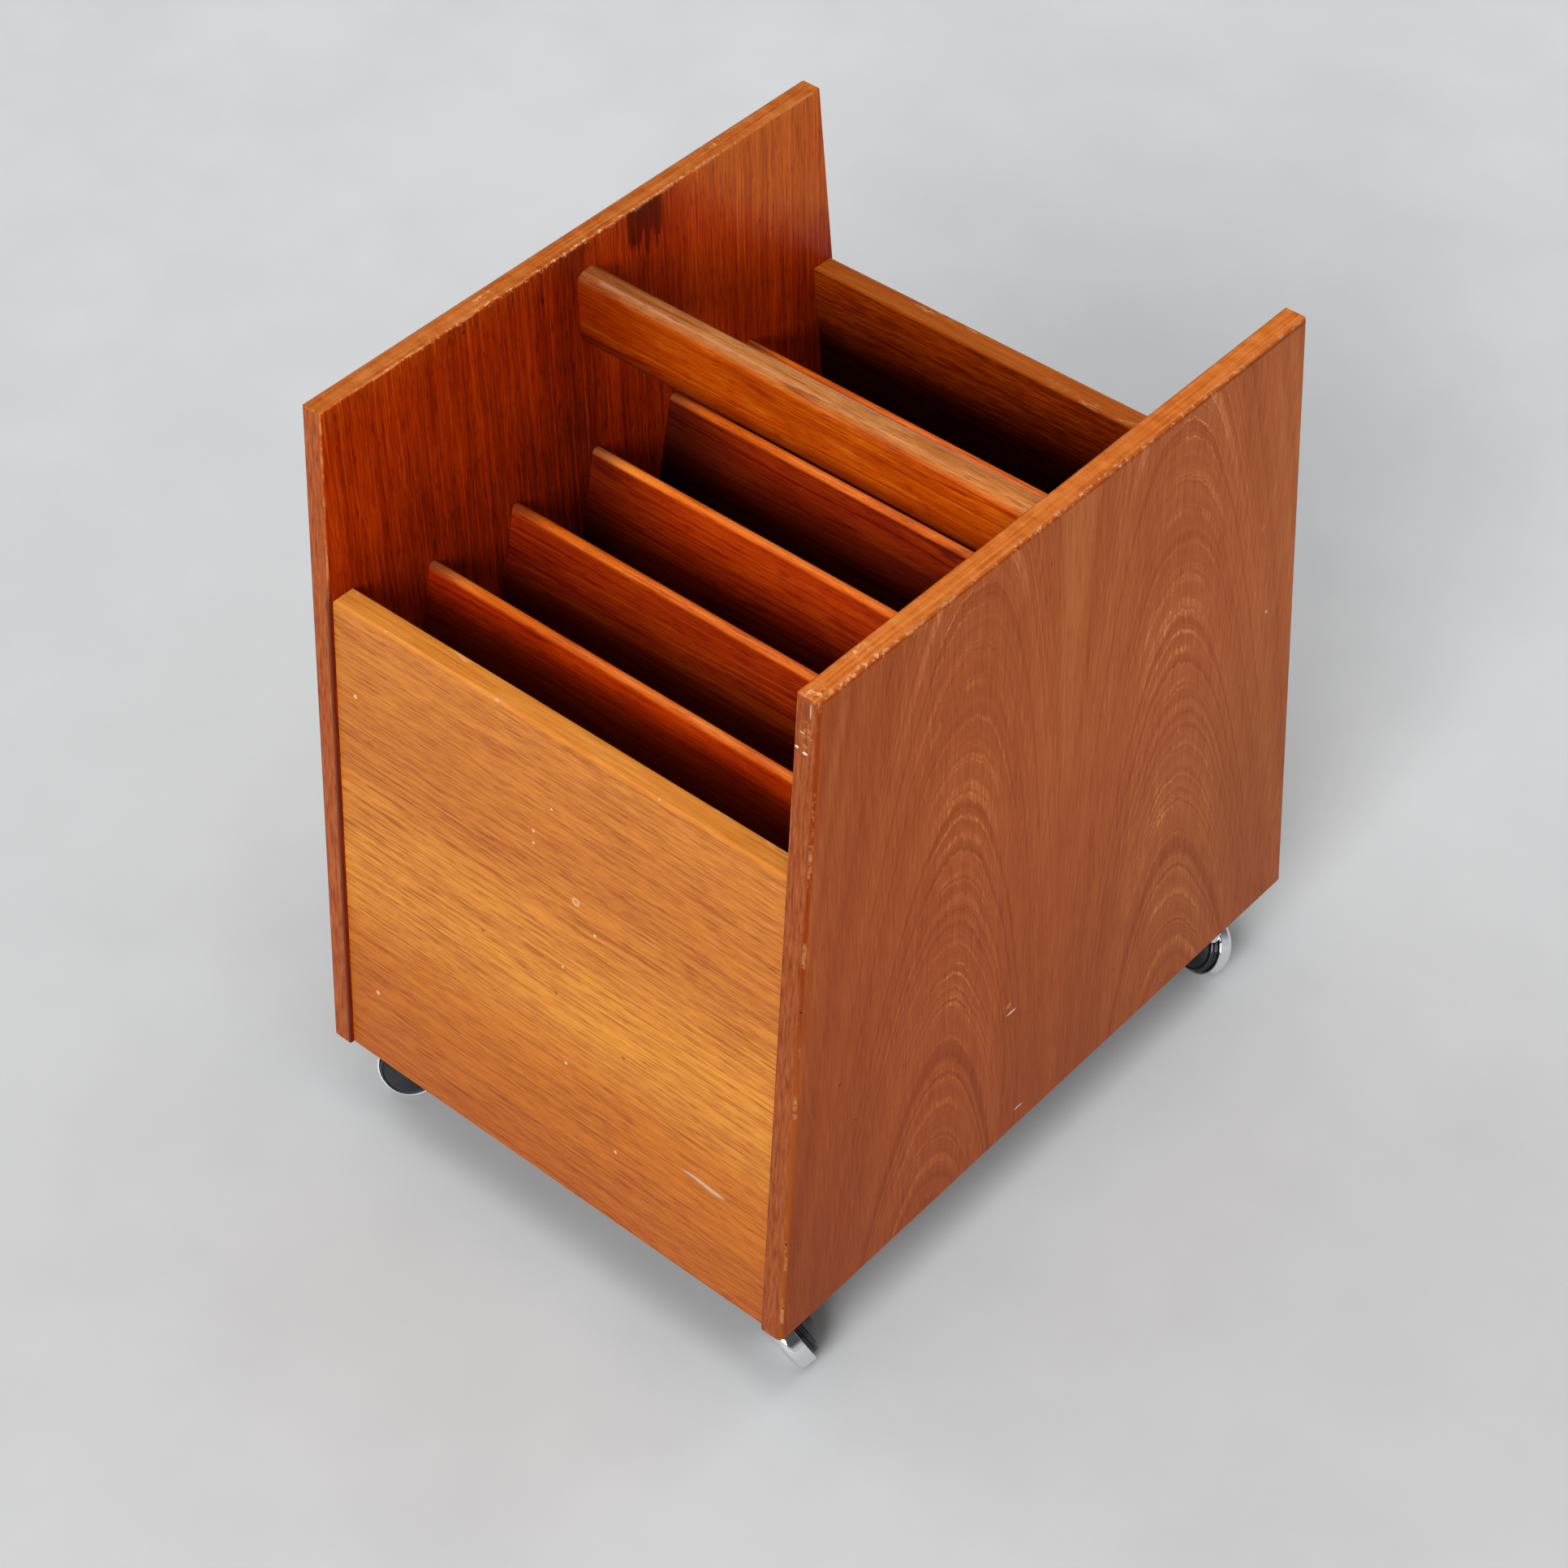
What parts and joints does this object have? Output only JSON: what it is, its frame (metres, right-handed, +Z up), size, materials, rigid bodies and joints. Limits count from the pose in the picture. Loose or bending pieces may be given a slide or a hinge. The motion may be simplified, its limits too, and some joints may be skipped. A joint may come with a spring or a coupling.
{
  "type": "magazine rack",
  "caption": "Teak magazine rack with tapered side panels, leaning dividers that form open pockets, a central carry rail and hooded swivel ball castors.",
  "frame": {"origin": "on the floor, under the middle of the rack", "axes": "+X across the pockets from side panel to side panel, +Y from the front panel to the back panel, which the dividers lean towards, +Z up"},
  "size_m": [0.3012, 0.4, 0.4363],
  "materials": {
    "side_veneer": "satin lacquered teak veneer, reddish brown, vertical grain",
    "side_lipping": "satin lacquered solid teak, worn paler along its arrises",
    "panel_veneer": "satin lacquered teak veneer, golden, grain along the width",
    "panel_lipping": "satin lacquered solid teak, golden",
    "divider_teak": "satin lacquered solid teak, orange brown",
    "rail_teak": "satin lacquered solid teak, worn golden on top",
    "bottom_veneer": "matt teak veneer",
    "block_softwood": "bare planed softwood",
    "dowel_beech": "bare fluted beech",
    "hood_chrome": "bright chrome plate on pressed steel",
    "castor_steel": "zinc plated steel",
    "wheel_black": "glossy black moulded plastic"
  },
  "bodies": {
    "cabinet": {"back_panel": "panel_veneer", "back_panel_dowel_left_1": "dowel_beech", "back_panel_dowel_left_2": "dowel_beech", "back_panel_dowel_right_1": "dowel_beech", "back_panel_dowel_right_2": "dowel_beech", "back_panel_lipping": "panel_lipping", "bottom_board": "bottom_veneer", "carry_rail": "rail_teak", "carry_rail_dowel_left_1": "dowel_beech", "carry_rail_dowel_left_2": "dowel_beech", "carry_rail_dowel_right_1": "dowel_beech", "carry_rail_dowel_right_2": "dowel_beech", "castor_king_pin_back_left": "castor_steel", "castor_king_pin_back_right": "castor_steel", "castor_king_pin_front_left": "castor_steel", "castor_king_pin_front_right": "castor_steel", "castor_plate_back_left": "castor_steel", "castor_plate_back_right": "castor_steel", "castor_plate_front_left": "castor_steel", "castor_plate_front_right": "castor_steel", "corner_block_back_left": "block_softwood", "corner_block_back_right": "block_softwood", "corner_block_front_left": "block_softwood", "corner_block_front_right": "block_softwood", "divider_1": "divider_teak", "divider_2": "divider_teak", "divider_3": "divider_teak", "divider_4": "divider_teak", "divider_5": "divider_teak", "front_panel": "panel_veneer", "front_panel_dowel_left_1": "dowel_beech", "front_panel_dowel_left_2": "dowel_beech", "front_panel_dowel_right_1": "dowel_beech", "front_panel_dowel_right_2": "dowel_beech", "front_panel_lipping": "panel_lipping", "side_lipping_back_left": "side_lipping", "side_lipping_back_right": "side_lipping", "side_lipping_front_left": "side_lipping", "side_lipping_front_right": "side_lipping", "side_lipping_top_left": "side_lipping", "side_lipping_top_right": "side_lipping", "side_panel_left": "side_veneer", "side_panel_right": "side_veneer"},
    "swivel_front_left": {"castor_hood_front_left": "hood_chrome", "castor_axle_front_left": "castor_steel"},
    "wheel_front_left": {"castor_wheel_front_left": "wheel_black", "castor_cap_front_left": "wheel_black"},
    "swivel_front_right": {"castor_hood_front_right": "hood_chrome", "castor_axle_front_right": "castor_steel"},
    "wheel_front_right": {"castor_wheel_front_right": "wheel_black", "castor_cap_front_right": "wheel_black"},
    "swivel_back_right": {"castor_hood_back_right": "hood_chrome", "castor_axle_back_right": "castor_steel"},
    "wheel_back_right": {"castor_wheel_back_right": "wheel_black", "castor_cap_back_right": "wheel_black"},
    "swivel_back_left": {"castor_hood_back_left": "hood_chrome", "castor_axle_back_left": "castor_steel"},
    "wheel_back_left": {"castor_wheel_back_left": "wheel_black", "castor_cap_back_left": "wheel_black"}
  },
  "joints": [
    {"name": "swivel_front_left", "type": "hinge", "parent": "cabinet", "child": "swivel_front_left", "pos_m": [-0.1293, -0.1685, 0.045], "axis": [0, 0, 1], "continuous": true},
    {"name": "roll_front_left", "type": "hinge", "parent": "swivel_front_left", "child": "wheel_front_left", "pos_m": [-0.1309, -0.17033, 0.0161], "axis": [0.5811, -0.7049, 0.4067], "continuous": true},
    {"name": "swivel_front_right", "type": "hinge", "parent": "cabinet", "child": "swivel_front_right", "pos_m": [0.1293, -0.1685, 0.045], "axis": [0, 0, 1], "continuous": true},
    {"name": "roll_front_right", "type": "hinge", "parent": "swivel_front_right", "child": "wheel_front_right", "pos_m": [0.13171, -0.1688, 0.0161], "axis": [0.261, 0.8755, 0.4067], "continuous": true},
    {"name": "swivel_back_right", "type": "hinge", "parent": "cabinet", "child": "swivel_back_right", "pos_m": [0.1293, 0.1633, 0.045], "axis": [0, 0, 1], "continuous": true},
    {"name": "roll_back_right", "type": "hinge", "parent": "swivel_back_right", "child": "wheel_back_right", "pos_m": [0.12689, 0.16366, 0.0161], "axis": [-0.2808, -0.8693, 0.4067], "continuous": true},
    {"name": "swivel_back_left", "type": "hinge", "parent": "cabinet", "child": "swivel_back_left", "pos_m": [-0.1293, 0.1633, 0.045], "axis": [0, 0, 1], "continuous": true},
    {"name": "roll_back_left", "type": "hinge", "parent": "swivel_back_left", "child": "wheel_back_left", "pos_m": [-0.12772, 0.16515, 0.0161], "axis": [-0.5872, 0.6998, 0.4067], "continuous": true}
  ]
}
